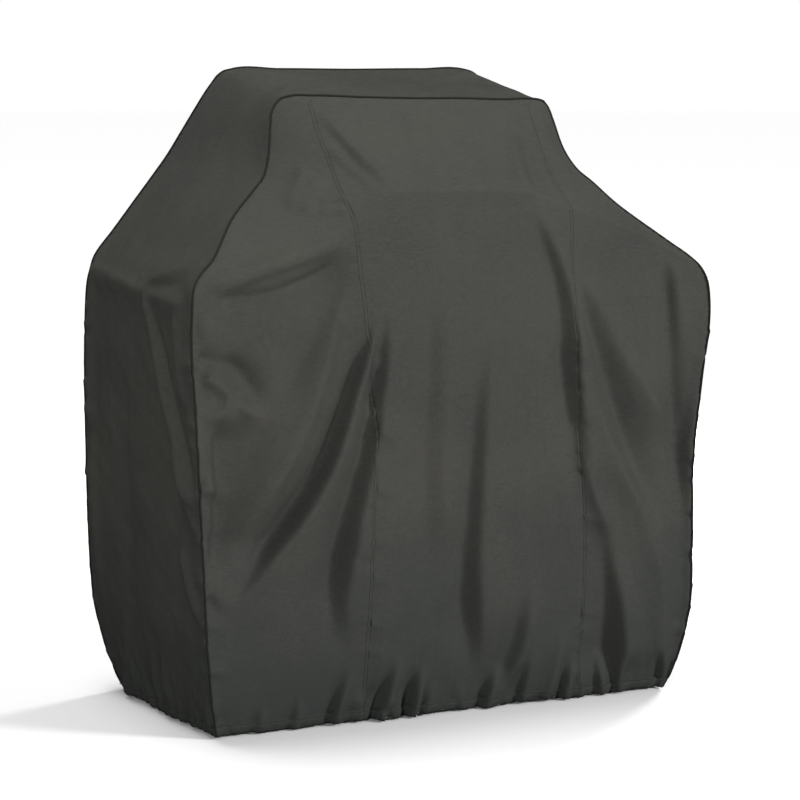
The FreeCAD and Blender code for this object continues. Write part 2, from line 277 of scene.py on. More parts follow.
def back_surface():
    """The back without folds: it rises in the planes of its two side seams."""
    x, y, z = wall_grid(False)
    mid = np.repeat(y[:, :1], x.shape[1], axis=1)
    share = ease((ROW_RUN[-1] - ROW_RUN) / 0.08)[:, None]
    y = mid * share + (y[-1][None, :] + (mid - mid[-1])) * (1 - share)
    return np.stack([x, y, z], axis=-1)


def boundary(grid):
    """The piped seam of a front or back grid: left side up, top across, right side down."""
    return np.concatenate([grid[:, 0], grid[-1, 1:-1], grid[::-1, -1]])


def sew(wall, strip, col, line):
    """Gives a wall and one edge of the strip the same line as their piped seam."""
    rows, cols = wall.shape[:2]
    strip[:, col] = line
    wall[:, 0] = line[:rows]
    wall[-1, 1:-1] = line[rows:rows + cols - 2]
    wall[:, -1] = line[rows + cols - 2:][::-1]


def strip_surface(front_line, back_line):
    """The long strip without folds, straight across from the front's seam to the back's."""
    t = STRIP_COLS[None, :, None]
    return front_line[:, None, :] * (1 - t) + back_line[:, None, :] * t


def normals(grid, outward):
    """Unit normals of a grid, turned to agree with the outward vector or vectors."""
    du = np.gradient(grid, axis=0)
    dv = np.gradient(grid, axis=1)
    n = np.cross(du, dv)
    n /= np.linalg.norm(n, axis=-1, keepdims=True) + 1e-12
    flip = np.sign((n * outward).sum(axis=-1, keepdims=True))
    return n * np.where(flip == 0, 1, flip)


def evened(values, times):
    """Values along an open line, smoothed between its ends."""
    for _ in range(times):
        values[1:-1] = (values[:-2] + values[2:] + 2 * values[1:-1]) / 4
    return values


def unit(vectors):
    return vectors / np.linalg.norm(vectors, axis=1, keepdims=True)


def blurred(n, times):
    """Unit normals of a grid, smoothed both ways."""
    for _ in range(times):
        p = np.pad(n, ((1, 1), (1, 1), (0, 0)), mode="edge")
        n = (p[:-2, 1:-1] + p[2:, 1:-1] + p[1:-1, :-2] + p[1:-1, 2:] + 2 * n) / 6
    return n / np.linalg.norm(n, axis=-1, keepdims=True)


# ---- folds
# Each row, in millimetres: the points of the fold's line, then six sizes: its width on the left, its width on
# the right and its height, each at both ends. A third part, where there is one, holds the shares of the line
# over which its two ends die out.
FRONT_FOLDS = [
    # from the shelf's corner up to the handle, and the hollow under it
    ((-500, 803, -444, 814, -383, 833, -284, 860, -205, 890), (8, 11, 18, 30, 10, 16)),
    ((-495, 785, -423, 788, -356, 797, -266, 828, -204, 864), (30, 40, 9, 10, -8, -18)),
    ((-215, 840, -262, 765, -310, 690, -350, 620, -400, 560), (30, 60, 16, 30, -8, -10), (0.2, 0.5)),
    # the hollows beside the piped seam, then the great swags of the left panel
    ((-474, 688, -435, 662, -405, 622, -396, 570), (22, 24, 14, 26, -15, -18), (0.25, 0.5)),
    ((-468, 585, -467, 500, -471, 410, -476, 300), (15, 14, 85, 70, -22, -30)),
    ((-210, 850, -235, 792, -262, 716, -284, 640, -302, 585, -330, 528, -386, 438, -432, 371, -478, 318),
     (40, 62, 14, 36, 14, 32), (0.25, 0.3)),
    ((-186, 725, -214, 630, -266, 498, -325, 408, -392, 325, -455, 240), (12, 26, 4, 9, -12, -24),
     (0.15, 0.35)),
    ((-166, 760, -182, 683, -205, 612, -253, 481, -310, 395, -366, 331, -426, 260, -471, 205),
     (4, 10, 12, 80, 10, 28), (0.15, 0.4)),
    ((-152, 750, -160, 680, -172, 600, -184, 530, -210, 435, -237, 339, -257, 229, -240, 120),
     (10, 48, 7, 13, -10, -22), (0.12, 0.35)),
    ((-136, 760, -140, 681, -150, 606, -163, 524, -186, 435, -209, 339, -226, 229, -205, 126),
     (7, 14, 30, 65, 7, 21), (0.2, 0.3)),
    # down the middle
    ((-52, 770, -60, 600, -62, 407, -45, 200), (22, 34, 26, 36, -6, -10)),
    ((-22, 760, -30, 560, -24, 380, -10, 290), (20, 26, 30, 30, 4, 7)),
    ((50, 730, 44, 640, 36, 550, 30, 460, 20, 319, 16, 219, 34, 54), (30, 55, 10, 14, -4, -18),
     (0.3, 0.25)),
    ((74, 726, 70, 642, 60, 550, 55, 460, 45, 319, 45, 219, 62, 54), (10, 17, 40, 68, 4, 18), (0.3, 0.25)),
    ((10, 310, -12, 252, -36, 170), (10, 18, 12, 20, 6, 6), (0.5, 0.5)),
    ((165, 280, 149, 180, 135, 100, 107, 40), (10, 18, 18, 30, 6, 14), (0.5, 0.25)),
    ((135, 240, 112, 107, 85, 40), (24, 26, 10, 12, -5, -11), (0.5, 0.25)),
    ((235, 170, 218, 90, 200, 5), (16, 22, 18, 20, 6, 12), (0.5, 0.1)),
    # from the handle's right end outwards
    ((156, 930, 185, 850, 208, 770, 221, 660, 238, 560, 256, 440, 285, 335), (24, 28, 9, 12, -6, -16),
     (0.12, 0.4)),
    ((170, 925, 200, 862, 224, 791, 243, 705, 256, 590, 262, 519, 288, 387, 339, 259),
     (10, 18, 14, 40, 6, 22), (0.12, 0.2)),
    ((234, 812, 266, 720, 303, 635, 345, 530, 390, 430, 445, 330), (10, 26, 12, 40, -6, -22), (0.2, 0.3)),
    ((250, 820, 290, 742, 335, 660, 392, 580, 436, 525, 466, 480), (14, 56, 22, 20, 5, 22), (0.2, 0.3)),
    ((248, 575, 262, 500, 284, 420, 322, 332), (7, 10, 16, 36, -5, -12), (0.3, 0.3)),
    ((272, 630, 300, 535, 345, 430, 405, 318), (12, 40, 9, 14, 4, 13), (0.4, 0.3)),
    ((437, 835, 448, 719, 460, 615, 468, 520, 473, 420, 470, 320), (24, 36, 8, 26, -9, -22), (0.15, 0.35)),
    ((449, 832, 461, 719, 474, 630), (8, 9, 18, 10, 7, 5), (0.2, 0.6)),
    ((290, 350, 310, 260, 325, 147, 335, 37), (40, 65, 10, 16, -6, -18), (0.4, 0.2)),
    ((312, 340, 335, 230, 352, 147, 368, 37), (10, 18, 24, 40, 6, 19), (0.4, 0.2)),
    ((425, 300, 436, 160, 448, 20), (22, 30, 16, 18, 8, 10)),
    ((330, 470, 390, 350, 430, 230), (20, 40, 20, 34, 6, 11), (0.5, 0.4)),
    # puckers beside the piped seam
    ((-512, 755, -496, 722, -484, 700), (8, 14, 12, 18, 6, 4), (0.1, 0.6)),
    ((-512, 688, -482, 678, -448, 672), (7, 12, 12, 18, -10, -7), (0.05, 0.6)),
    ((-506, 655, -478, 640, -458, 622, -457, 600, -478, 585, -506, 578), (9, 9, 15, 14, 10, 8),
     (0.1, 0.3)),
    ((-440, 612, -420, 594, -392, 570), (9, 11, 11, 13, 8, 10), (0.4, 0.5)),
    ((-506, 480, -486, 458, -452, 424), (9, 14, 16, 24, 10, 7), (0.1, 0.6)),
    ((-506, 420, -486, 385, -470, 350), (8, 12, 14, 18, 8, 6), (0.1, 0.6)),
    ((-504, 292, -478, 262, -444, 220), (9, 14, 16, 26, 7, 4), (0.1, 0.6)),
    # small wrinkles of the hood
    ((-250, 1010, -280, 970, -311, 930), (9, 12, 10, 12, 6, 4)),
    ((-230, 992, -260, 962, -290, 926), (8, 10, 9, 11, 5, 4)),
    ((-252, 948, -200, 955), (6, 6, 7, 6, 2, 5)),
    ((-258, 930, -202, 934), (6, 6, 7, 6, 2, 4)),
    ((-206, 1118, -176, 1061, -130, 1000, -118, 962), (10, 9, 14, 12, 6, 8)),
    ((-198, 1085, -165, 1015, -135, 975), (8, 7, 8, 7, -5, -5)),
    ((-204, 1050, -175, 1005, -140, 970), (8, 8, 12, 12, 5, 6)),
    ((-43, 1098, -50, 1060, -58, 1025), (10, 12, 10, 12, -3, -3)),
    ((0, 1085, 8, 1018), (10, 12, 12, 14, -3, -3)),
    ((50, 1060, 75, 1022, 105, 990), (9, 12, 10, 14, -3, -3)),
    ((185, 1080, 168, 1020, 152, 958), (12, 12, 12, 12, 4, 6)),
    ((215, 1060, 196, 1000, 188, 945), (12, 10, 10, 10, -3, -5)),
    ((245, 1095, 268, 1018, 300, 960), (10, 12, 10, 12, 4, 3)),
]
# Deep pleats at the front's hem: where each starts and how high, where it meets the hem, and its depth
PLEATS = [(-222, 110, -252, 9.75), (-126, 122, -160, 12.75), (-150, 60, -128, 6.0), (-78, 108, -96, 12.0),
          (-50, 66, -66, 7.5), (86, 88, 60, 9.75), (150, 120, 139, 6.0), (242, 90, 229, 9.75),
          (300, 78, 312, 6.75), (328, 104, 350, 9.0), (430, 94, 448, 8.25), (-390, 50, -402, 4.5),
          (-318, 56, -330, 5.25)]
for start, high, foot, depth in PLEATS:
    crease = np.array([(start, high), (start * 0.45 + foot * 0.55, high * 0.5), (foot, -4)])
    FRONT_FOLDS.append((crease, (11, 9, 6, 5, -depth * 0.5, -depth), (0.5, 0.02)))
    FRONT_FOLDS.append((crease + [14, 2], (6, 5, 14, 10, depth * 0.5, depth), (0.5, 0.02)))
BACK_FOLDS = [
    ((-470, 800, -400, 640, -350, 450, -340, 200), (30, 50, 24, 44, 8, 17)),
    ((-430, 760, -360, 560, -300, 350, -290, 100), (20, 34, 20, 30, -7, -12)),
    ((-300, 900, -262, 700, -240, 420, -238, 80), (26, 36, 18, 34, 6, 14)),
    ((-150, 820, -150, 500, -165, 60), (26, 34, 26, 30, -5, -12)),
    ((-75, 760, -80, 420, -100, 50), (22, 30, 30, 36, 6, 14)),
    ((10, 700, 14, 350, 0, 50), (30, 34, 20, 24, -5, -12)),
    ((85, 800, 76, 450, 92, 60), (18, 26, 30, 38, 6, 13)),
    ((180, 860, 170, 500, 185, 100), (24, 30, 22, 30, -5, -10)),
    ((300, 880, 262, 650, 268, 380, 300, 90), (20, 30, 28, 40, 7, 14)),
    ((440, 780, 380, 600, 350, 380, 370, 120), (20, 30, 24, 34, -8, -13)),
    ((480, 760, 435, 580, 420, 360, 430, 140), (24, 30, 24, 32, 7, 12)),
    ((-250, 1120, -180, 1020, -100, 930), (16, 24, 18, 26, 4, 5)),
    ((240, 1110, 170, 1000, 120, 900), (16, 24, 18, 26, -4, -5)),
    ((50, 1130, 30, 1000, 40, 860), (20, 28, 20, 28, 3, 5)),
]
# On the ends: depth and height
LEFT_FOLDS = [
    ((-40, 785, -60, 765, -98, 710, -140, 612, -191, 520, -240, 407), (8, 10, 10, 18, 10, 16),
     (0.1, 0.15)),
    ((-80, 765, -125, 690, -165, 600, -212, 510, -250, 420), (10, 12, 7, 9, -7, -12)),
    ((-200, 770, -208, 690, -224, 585), (7, 8, 8, 10, 8, 9)),
    ((-170, 520, -205, 465, -243, 415), (7, 7, 12, 10, 6, 10)),
    ((-186, 445, -220, 410, -255, 372), (7, 7, 12, 10, 6, 10)),
    ((-176, 345, -215, 270, -252, 205), (8, 7, 14, 12, 8, 11)),
    ((268, 810, 114, 800, -40, 788, -225, 777), (10, 10, 30, 30, 11, 11), (0.03, 0.03)),
    ((-10, 796, -10, 825, -4, 862), (7, 10, 8, 10, 8, 3)),
    ((-24, 796, -112, 821, -262, 852), (10, 14, 8, 10, 9, 6)),
    ((-44, 786, -130, 803, -215, 818), (5, 6, 7, 9, -3, -3)),
    ((10, 790, 0, 830, -5, 870), (10, 12, 8, 10, -5, -3)),
    ((235, 700, 238, 450, 215, 150), (14, 20, 16, 22, 4, 8)),
    ((80, 700, 60, 450, 70, 100), (30, 40, 30, 40, -3, -6)),
    ((-160, 1100, -170, 1000, -160, 930), (16, 20, 16, 20, -3, -3)),
]
RIGHT_FOLDS = [
    ((60, 785, 20, 700, -20, 560, -30, 380), (14, 20, 16, 26, 6, 12)),
    ((-110, 780, -160, 700, -200, 560, -235, 430), (12, 14, 14, 20, 6, 10)),
    ((30, 760, -20, 650, -70, 500, -90, 300), (14, 22, 12, 18, -5, -10)),
    ((200, 780, 170, 640, 140, 430, 130, 150), (18, 24, 18, 26, -5, -9)),
    ((232, 740, 215, 560, 200, 330, 190, 120), (14, 20, 16, 22, 6, 10)),
    ((266, 812, 100, 804, -60, 800, -225, 792), (8, 8, 16, 16, 4, 5), (0.03, 0.03)),
    ((60, 800, 80, 835, 110, 880), (8, 10, 8, 10, 5, 3)),
    ((-120, 800, -170, 830, -235, 862), (8, 10, 10, 12, 5, 4)),
    ((-150, 300, -160, 160, -150, 40), (20, 30, 20, 30, 5, 10)),
]
# On the top: place and depth
TOP_FOLDS = [
    ((-262, -60, -215, 0, -150, 60), (10, 14, 10, 14, 4, 2)),
    ((-240, -68, -180, -20, -100, 20), (8, 12, 10, 12, 3, 2)),
    ((0, -60, 90, 0, 200, 60), (14, 18, 14, 18, 2, 3)),
    ((258, 170, 190, 120, 120, 90), (10, 14, 10, 14, 4, 2)),
    ((-250, 170, -190, 130, -100, 110), (10, 14, 12, 14, 4, 2)),
]


def puckers(a, b, line, out_way, seed, spacing=0.060, height=0.0042, reach=0.046):
    """Short slanting wrinkles that start at a seam and die out in the cloth beside it."""
    rng = np.random.default_rng(seed)
    line = np.asarray(line, float)
    run = run_along(line)
    out = np.zeros(a.shape)
    at = spacing * rng.uniform(0.2, 0.9)
    while at < run[-1]:
        start = np.array([np.interp(at, run, line[:, k]) for k in range(2)])
        long = reach * rng.uniform(0.6, 1.7)
        end = start + np.array([out_way * long, long * rng.uniform(-0.9, 0.5)])
        mid = (start + end) / 2 + np.array([0, rng.uniform(-0.006, 0.006)])
        wide = rng.uniform(0.0065, 0.0120)
        high = height * rng.uniform(0.3, 1.3) * rng.choice([-0.8, 1.0, 1.0])
        out += fold(a, b, [start, mid, end], (wide, wide * 1.5), (wide, wide * 1.7), (high, high * 0.8),
                    (0.03, 0.8))
        at += spacing * rng.uniform(0.45, 1.6)
    return out


def streaks(x, z, lean, seed):
    """Faint long wrinkles of hanging cloth, about 20 mm apart. They lean as the folds around them do."""
    along = x - curve(lean, x) * (z - 0.4)
    comes = ease(wander(x, z, 0.30, seed + 1) * 1.2 + 0.5)
    return 0.0011 * wander(along, z * 0.16, 0.045, seed) * comes * ease((0.90 - z) / 0.25)


class Gathers:
    """Pleats of the elastic hem along one side: narrow at the hem, wider and lower further up."""

    def __init__(self, start, end, pitch, depth, strong, seed):
        rng = np.random.default_rng(seed)
        self.rows = []
        at = start + pitch * rng.uniform(0.2, 0.6)
        while at < end - pitch * 0.25:
            near = max((w * math.exp(-((at - c) / r) ** 2) for c, r, w in strong), default=0)
            self.rows.append((at, pitch * rng.uniform(0.20, 0.30),
                              depth * (0.22 + near) * rng.uniform(0.6, 1.25),
                              rng.uniform(0.04, 0.10) * (0.7 + 0.8 * near), rng.uniform(-0.45, 0.45)))
            at += pitch * rng.uniform(0.65, 1.3) / (1 + 0.45 * near)

    def field(self, s, z):
        out = np.zeros_like(s)
        for at, wide, high, reach, lean in self.rows:
            w = wide * (1 + z / reach)
            dies_out = np.exp(-(np.maximum(z, 0) / reach) ** 1.5)
            out += high * np.exp(-(np.abs(s - at - lean * z) / w) ** 1.7) * dies_out
        return out


FRONT_GATHERS = Gathers(-0.46, 0.455, 0.040, 0.0085,
                        [(-0.12, 0.07, 1.0), (0.07, 0.03, 0.8), (0.30, 0.06, 0.9), (0.44, 0.03, 0.8)], 3)
BACK_GATHERS = Gathers(-0.455, 0.455, 0.040, 0.0120, [(-0.2, 0.2, 0.7), (0.25, 0.15, 0.8)], 5)
LEFT_GATHERS = Gathers(-0.22, 0.225, 0.036, 0.0125, [(0.12, 0.09, 1.0), (-0.05, 0.06, 0.7)], 11)
RIGHT_GATHERS = Gathers(-0.22, 0.225, 0.038, 0.0100, [(0.05, 0.12, 0.9)], 17)


# How strongly each table's folds are drawn, and how the faint wrinkles lean: place and slope
FOLD_GAIN = {"front": 1.25, "back": 1.35, "right": 1.6}
FRONT_LEAN = [(-0.5, 0.45), (-0.25, 0.35), (-0.1, 0.05), (0.15, 0.0), (0.3, -0.32), (0.5, -0.25)]
BACK_LEAN = [(-0.5, 0.2), (-0.2, 0.1), (0.2, -0.1), (0.5, -0.2)]
END_LEAN = [(-0.27, 0.25), (0.0, 0.05), (0.27, -0.05)]


def make_surfaces():
    """The three grids with their folds: the front, the back, and the strip over the ends and the top."""
    front = front_surface()
    back = back_surface()
    strip = strip_surface(boundary(front), boundary(back))
    # Between its edges the strip turns more softly at the hood's corners
    inner = ease(np.sin(math.pi * STRIP_COLS) / 0.35)[None, :, None]
    length = len(strip)
    for corner in (N_ROWS - 1, length - N_ROWS):
        near = np.exp(-((np.arange(length) - corner) / 9.0) ** 2)[:, None, None] * inner
        for _ in range(26):
            mean = (np.roll(strip, 1, axis=0) + np.roll(strip, -1, axis=0)) / 2
            strip = strip + near * 0.8 * (mean - strip)
    out_strip = strip - MIDDLE
    out_strip[..., 1] = 0
    across = run_along(front[N_ROWS // 2])
    side = ease(np.minimum(across, across[-1] - across) / SEAM_FREE)[None, :]
    top = ease((ROW_RUN[-1] - ROW_RUN) / SEAM_FREE)[:, None]

    x, z = front[..., 0], front[..., 2]
    n = blurred(normals(front, np.array([0, -1, 0.2])), 4)
    d = FOLD_GAIN["front"] * folds(x, z, FRONT_FOLDS) + wander(x, z * 0.55, 0.15, 21) * 0.0020
    d -= 0.006 * ease((0.75 - z) / 0.2)
    d += streaks(x, z, FRONT_LEAN, 51)
    d = d * side * top + FRONT_GATHERS.field(x, z)
    low = slice(2, int(N_ROWS * 0.55))
    seam_l, seam_r = SEAM_COLS
    for seed, (col, way, high) in enumerate(((0, 1, 0.0060), (seam_l, -1, 0.0030), (seam_l, 1, 0.0034),
                                             (seam_r, -1, 0.0026), (seam_r, 1, 0.0030), (-1, -1, 0.0030))):
        d += puckers(x, z, front[low, col][:, [0, 2]], way, 60 + seed, height=high)
    front = front + n * d[..., None]

    x, z = back[..., 0], back[..., 2]
    n = blurred(normals(back, np.array([0, 1, 0.1])), 4)
    d = FOLD_GAIN["back"] * folds(x, z, BACK_FOLDS) + wander(x, z * 0.5, 0.18, 33) * 0.0025
    d -= 0.002 * ease((0.75 - z) / 0.2)
    d += streaks(x, z, BACK_LEAN, 53)
    d = d * side * top + BACK_GATHERS.field(x, z)
    seams = (0, 1), (seam_l, -1), (seam_l, 1), (seam_r, -1), (seam_r, 1), (-1, -1)
    for seed, (col, way) in enumerate(seams):
        d += puckers(x, z, back[low, col][:, [0, 2]], way, 70 + seed, height=0.0036)
    back = back + n * d[..., None]

    x, y, z = (strip[..., i] for i in range(3))
    n = blurred(normals(strip, out_strip), 4)
    t = STRIP_COLS[None, :] * DEPTH
    mask = ease(np.minimum(t, DEPTH - t) / SEAM_FREE)
    left, right = ease((-x - 0.24) / 0.09), ease((x - 0.24) / 0.09)
    d = left * folds(y, z, LEFT_FOLDS) + right * FOLD_GAIN["right"] * folds(y, z, RIGHT_FOLDS)
    d += (left + right) * streaks(y, z, END_LEAN, 57)
    d += (1 - left) * (1 - right) * folds(x, y, TOP_FOLDS)
    d += wander(y + x * 0.3, z, 0.16, 41) * 0.0020 * (left + right) + wander(x, y, 0.12, 43) * 0.0012
    d += 0.004 * np.sin(math.pi * STRIP_COLS)[None, :] * ease((0.8 - z) / 0.2)
    d = d * mask + np.where(x < 0, LEFT_GATHERS.field(y, z), RIGHT_GATHERS.field(y, z)) * (z < 0.5)
    first, last = slice(2, int(N_ROWS * 0.6)), slice(-int(N_ROWS * 0.6), -2)
    for seed, (rows, col, way, high) in enumerate(((first, 0, 1, 0.0048), (first, -1, -1, 0.0040),
                                                   (last, 0, 1, 0.0045), (last, -1, -1, 0.0040))):
        here = (x < 0) if seed < 2 else (x > 0)
        d += here * puckers(y, z, strip[rows, col][:, [1, 2]], way, 80 + seed, height=high)
    strip = strip + n * d[..., None]
    # One line along each piped seam: the mean of what both sides ask for
    for wall, col in ((front, 0), (back, -1)):
        sew(wall, strip, col, (boundary(wall) + strip[:, col]) / 2)
    return front, back, strip


# ---- the cloth settles
def pull(grid, rest, first, second, share):
    """Moves the ends of every pair of points half of the way to their rest length, or a share of it."""
    a, b = grid[first], grid[second]
    way = b - a
    length = np.sqrt((way * way).sum(axis=-1)) + 1e-9
    way *= (0.5 * share * (1 - rest[first] / length))[..., None]
    grid[first] = a + way
    grid[second] = b - way


def pairs(rows, cols, down, over):
    """Index pairs (down, over) apart, split in two sets in which no point comes twice."""
    r, c = np.meshgrid(np.arange(max(rows - down, 0)), np.arange(max(cols - abs(over), 0)), indexing="ij")
    if over < 0:
        c = c - over
    key = (r // down) if down else (c // over)
    for parity in (0, 1):
        keep = key % 2 == parity
        yield (r[keep], c[keep]), (r[keep] + down, c[keep] + over)


class Sheet:
    """A grid of cloth with threads both ways, their diagonals, and stiffness against tight bends."""

    def __init__(self, grid, spare):
        self.grid = grid
        rows, cols = grid.shape[:2]
        self.links = []
        for down, over, share, grown in ((0, 1, 1.0, 0), (1, 0, 1.0, 1), (1, 1, 0.35, 2), (1, -1, 0.35, 2),
                                         (0, 2, 0.16, 0), (2, 0, 0.16, 1)):
            for first, second in pairs(rows, cols, down, over):
                length = np.linalg.norm(grid[second] - grid[first], axis=-1)
                factor = (spare[..., 0], spare[..., 1], spare.mean(axis=-1))[grown]
                if abs(down) + abs(over) == 2 and share < 0.3:
                    factor = 1 + (factor - 1) * 0.55
                rest = np.zeros((rows, cols))
                rest[first] = length * (factor[first] + factor[second]) / 2
                self.links.append((rest, first, second, share))

    def relax(self):
        for rest, first, second, share in self.links:
            pull(self.grid, rest, first, second, share)


def settle(front, back, strip, rounds):
    """Spare cloth puckers along the seams and gathers at the elastic, while the rest keeps its shape."""
    across = run_along(front[N_ROWS // 3])
    rng = np.random.default_rng(5)

    def along_seam(run, seams, z, strong, near=0.022):
        """Spare length along upright seams: it comes and goes along them, and is gone 35 mm from them."""
        out = np.zeros((len(z), len(run)))
        for k, (at, power) in enumerate(seams):
            phase, beat = rng.uniform(0, 6, 2), rng.uniform(9, 14)
            comes = 0.55 + 0.45 * np.sin(beat * z + phase[0]) * np.sin(beat * 0.37 * z + phase[1])
            out = np.maximum(out, power * comes[:, None] * np.exp(-((run[None, :] - at) / near) ** 2))
        return out * strong

    def near_hem(height):
        """Falls from 1 at the hem to almost nothing 150 mm above it."""
        return np.exp(-((np.maximum(height, 0) - 0.004) / 0.055) ** 1.5)

    # Spare length across the cloth, most of it at the hem, and along it beside the seams
    z = front[:, 0, 2]
    walls = []
    for grid in (front, back):
        x = grid[0, :, 0]
        if grid is front:
            bunches = [(-0.135, 0.055, 0.9), (0.06, 0.05, 0.5), (0.27, 0.07, 0.7), (0.44, 0.03, 0.4)]
            where = 0.30 + sum(most * np.exp(-((x - at) / wide)**2) for at, wide, most in bunches)
        else:
            where = 0.8 + 0.5 * np.sin(9 * x + 4) * np.sin(23 * x + 2)
        spare = np.ones(grid.shape[:2] + (2,))
        spare[..., 0] += 0.24 * near_hem(z)[:, None] * np.clip(where, 0.3, 2)[None, :]
        seam_l, seam_r = across[list(SEAM_COLS)]
        seams = [(0, 1.0), (seam_l, 0.8), (seam_r, 0.8), (across[-1], 1.0)]
        spare[..., 1] += along_seam(across, seams, z, 0.035)
        walls.append(spare)
    t = STRIP_COLS * DEPTH
    spare = np.ones(strip.shape[:2] + (2,))
    height = strip[:, 0, 2]
    hem = near_hem(height) * (np.abs(strip[:, 0, 0]) > 0.4)
    where = 1.0 + 0.6 * np.sin(26 * t + 1.0)
    spare[..., 0] += 0.26 * hem[:, None] * where[None, :]
    run = run_along(strip[:, 0])
    spare[..., 1] += along_seam(t, [(0, 1.0), (t[-1], 1.0)], run, 0.03)
    sheets = [Sheet(front.copy(), walls[0]), Sheet(back.copy(), walls[1]), Sheet(strip.copy(), spare)]
    homes = [front.copy(), back.copy(), strip.copy()]
    for sheet in sheets:
        sheet.grid += rng.normal(0, 0.0004, sheet.grid.shape)
    # How firmly each point keeps its place, and how far it may leave it
    firm, room = [], []
    for home in homes:
        z = home[..., 2]
        low = ease((0.10 - z) / 0.10)
        firm.append((0.014 - 0.009 * low)[..., None])
        room.append((0.008 + 0.008 * low)[..., None])

    def share_seams():
        """The strip and the walls take one line along each piped seam, evened along its length."""
        f, b, s = (sheet.grid for sheet in sheets)
        for wall, home, col in ((f, homes[0], 0), (b, homes[1], -1)):
            at_home = boundary(home)
            gap = evened((boundary(wall) + s[:, col]) / 2 - at_home, 2)
            sew(wall, s, col, at_home + gap * 0.9)

    for _ in range(rounds):
        for sheet in sheets:
            sheet.relax()
        share_seams()
        for sheet, home, hold, most in zip(sheets, homes, firm, room):
            gap = sheet.grid - home
            gap *= 1 - hold
            size = np.linalg.norm(gap, axis=-1, keepdims=True)
            gap *= np.minimum(1, most / (size + 1e-9))
            sheet.grid[...] = home + gap
            sheet.grid[..., 2] = np.maximum(sheet.grid[..., 2], LOWEST)
    share_seams()
    return [sheet.grid for sheet in sheets]


def level_hem(*grids):
    """Brings the lowest row to one gently waving height. The change dies out over the rows above it."""
    for grid in grids:
        rows = np.minimum(np.arange(len(grid)), N_ROWS - 1)
        share = 1 - ease(ROW_RUN[rows] / 0.07)
        wanted = 0.0040 + 0.0012 * np.sin(31 * grid[0, :, 0] + 17 * grid[0, :, 1])
        grid[..., 2] += share[:, None] * (wanted - grid[0, :, 2])[None, :]


FRONT, BACK, STRIP = make_surfaces()
FRONT, BACK, STRIP = settle(FRONT, BACK, STRIP, SETTLE_ROUNDS)
level_hem(FRONT, BACK, STRIP, STRIP[::-1])


# ---- mesh helpers
def add_object(name, verts, faces, smooth=True):
    """A new object with a mesh of these points and faces, linked to the scene."""
    mesh = bpy.data.meshes.new(name)
    mesh.from_pydata([tuple(map(float, v)) for v in verts], [], [tuple(map(int, f)) for f in faces])
    mesh.validate()
    mesh.polygons.foreach_set("use_smooth", [smooth] * len(mesh.polygons))
    mesh.update()
    obj = bpy.data.objects.new(name, mesh)
    bpy.context.scene.collection.objects.link(obj)
    return obj


def grid_object(name, grid, outward=True):
    """A grid of points as a sheet of quads, turned over where its own order faces inwards."""
    rows, cols = grid.shape[:2]
    index = np.arange(rows * cols).reshape(rows, cols)
    a, b, c, d = index[:-1, :-1], index[:-1, 1:], index[1:, 1:], index[1:, :-1]
    quads = np.stack([a, b, c, d], axis=-1).reshape(-1, 4)
    if not outward:
        quads = quads[:, ::-1]
    return add_object(name, grid.reshape(-1, 3), quads)


def thicken(obj, thickness):
    """Gives a sheet its thickness, inwards."""
    mod = obj.modifiers.new("cloth", "SOLIDIFY")
    mod.thickness = thickness
    mod.offset = -1.0
    mod.use_even_offset = False
    mod.use_rim = True


def frame_along(path, up_hint):
    """Tangent, hint made square to it, and their cross product, at each point of a path."""
    tan = np.gradient(path, axis=0)
    tan /= np.linalg.norm(tan, axis=1, keepdims=True) + 1e-12
    up = up_hint - (up_hint * tan).sum(axis=1, keepdims=True) * tan
    up /= np.linalg.norm(up, axis=1, keepdims=True) + 1e-12
    return tan, up, np.cross(tan, up)


def sweep(name, path, up_hint, section, closed=False):
    """A closed section carried along a path. The section's rows are (along up, along side)."""
    _, up, side = frame_along(path, up_hint)
    section = np.asarray(section)[None]
    verts = path[:, None] + up[:, None] * section[..., :1] + side[:, None] * section[..., 1:]
    n, m = verts.shape[:2]
    index = np.arange(n * m).reshape(n, m)
    nxt = np.roll(index, -1, axis=1)
    if closed:
        ahead = np.roll(index, -1, axis=0)
        faces = np.stack([index, nxt, np.roll(nxt, -1, axis=0), ahead], axis=-1).reshape(-1, 4).tolist()
    else:
        faces = np.stack([index[:-1], nxt[:-1], nxt[1:], index[1:]], axis=-1).reshape(-1, 4).tolist()
        faces += [index[0][::-1].tolist(), index[-1].tolist()]
    return add_object(name, verts.reshape(-1, 3), faces)


def flat_section(a, b):
    """A flat oblong section for sweep, from its half sizes."""
    return [(a, -b), (a, b), (-a, b), (-a, -b)]


def ring(radius, count=10):
    """A round section for sweep."""
    a = np.arange(count) * math.tau / count
    return np.column_stack([np.cos(a), np.sin(a)]) * radius


# ---- materials
COOL, WARM = (0.93, 1.01, 1.03), (1.04, 1.00, 0.95)     # casts of the darker and the lighter shade


def node(tree, kind, **values):
    """Adds a shader node and sets its inputs by name."""
    made = tree.nodes.new(kind)
    for key, value in values.items():
        made.inputs[key.replace("_", " ")].default_value = value
    return made


def add_up(tree, first, second):
    """The sum of two shader values."""
    made = node(tree, "ShaderNodeMath")
    made.operation = "ADD"
    tree.links.new(first, made.inputs[0])
    tree.links.new(second, made.inputs[1])
    return made.outputs[0]


def stretched_noise(tree, coord, stretch):
    """Fine streaks: noise drawn out along one direction, as a set of parallel threads is."""
    mapping = node(tree, "ShaderNodeMapping", Scale=stretch)
    noise = node(tree, "ShaderNodeTexNoise", Scale=1.0, Detail=2.0, Roughness=0.6)
    tree.links.new(coord.outputs["Object"], mapping.inputs["Vector"])
    tree.links.new(mapping.outputs["Vector"], noise.inputs["Vector"])
    return noise.outputs["Fac"]


